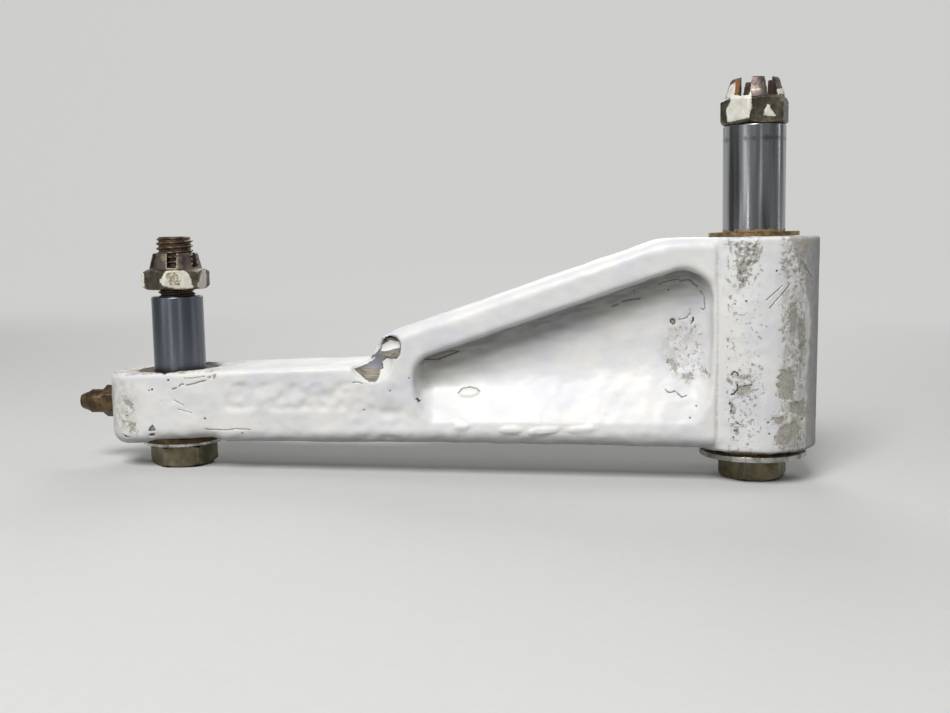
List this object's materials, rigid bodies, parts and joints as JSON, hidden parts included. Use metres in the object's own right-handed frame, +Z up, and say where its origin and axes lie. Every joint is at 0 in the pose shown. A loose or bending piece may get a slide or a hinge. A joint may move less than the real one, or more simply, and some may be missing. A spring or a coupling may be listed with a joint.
{
  "type": "torque link",
  "caption": "Cast torque link with pocketed sides, sleeved and bushed through-bolts with castle nuts at both ends, and a grease fitting.",
  "frame": {"origin": "centre of the outer face of the hinge bolt's head, on the hinge pin's axis", "axes": "+Z up the hinge pin towards its castle nut, -X along the arm towards the knee pin and the grease fitting, -Y the side seen in the picture"},
  "size_m": [0.1611, 0.0266, 0.0826],
  "materials": {
    "white_paint": "gloss",
    "bronze": "satin",
    "bright_sleeve": "polished",
    "grey_sleeve": "satin",
    "bolt_steel": "satin",
    "nut_steel": "satin",
    "washer_steel": "satin",
    "fitting_metal": "satin"
  },
  "bodies": {
    "link": {"link_casting": "white_paint", "hinge_bushing_lower": "bronze", "hinge_bushing_upper": "bronze", "knee_bushing_lower": "bronze", "knee_bushing_upper": "bronze", "grease_fitting": "fitting_metal", "grease_fitting_spring": "bolt_steel"},
    "hinge_washer_ring": {"hinge_washer": "washer_steel"},
    "hinge_sleeve_tube": {"hinge_sleeve": "bright_sleeve"},
    "hinge_through_bolt": {"hinge_bolt": "bolt_steel", "hinge_nut": "nut_steel"},
    "knee_washer_ring": {"knee_washer": "washer_steel"},
    "knee_through_bolt": {"knee_bolt": "bolt_steel", "knee_nut": "nut_steel"},
    "knee_sleeve_tube": {"knee_sleeve": "grey_sleeve"},
    "fitting_ball": {"grease_fitting_ball": "bolt_steel"}
  },
  "joints": [
    {"name": "hinge_pin_slide", "type": "slide", "parent": "link", "child": "hinge_washer_ring", "axis": [0, 0, -1], "range_m": [0, 0.0215]},
    {"name": "hinge_sleeve_turn", "type": "hinge", "parent": "hinge_washer_ring", "child": "hinge_sleeve_tube", "pos_m": [0, 0, 0.04], "axis": [0, 0, 1], "continuous": true},
    {"name": "hinge_bolt_turn", "type": "hinge", "parent": "hinge_sleeve_tube", "child": "hinge_through_bolt", "pos_m": [0, 0, 0.04], "axis": [0, 0, 1], "continuous": true},
    {"name": "knee_pin_slide", "type": "slide", "parent": "link", "child": "knee_washer_ring", "axis": [0, 0, -1], "range_m": [0, 0.0175]},
    {"name": "knee_bolt_turn", "type": "hinge", "parent": "knee_washer_ring", "child": "knee_through_bolt", "pos_m": [-0.1247, 0, 0.025], "axis": [0, 0, 1], "continuous": true},
    {"name": "knee_sleeve_play", "type": "slide", "parent": "knee_through_bolt", "child": "knee_sleeve_tube", "axis": [0, 0, 1], "range_m": [0, 0.0014]},
    {"name": "fitting_ball_press", "type": "slide", "parent": "link", "child": "fitting_ball", "axis": [1, 0, 0], "range_m": [0, 0.0005], "stiffness_N_per_m": 200, "springref_m": -0.0003, "deforming": ["grease_fitting_spring"]}
  ]
}
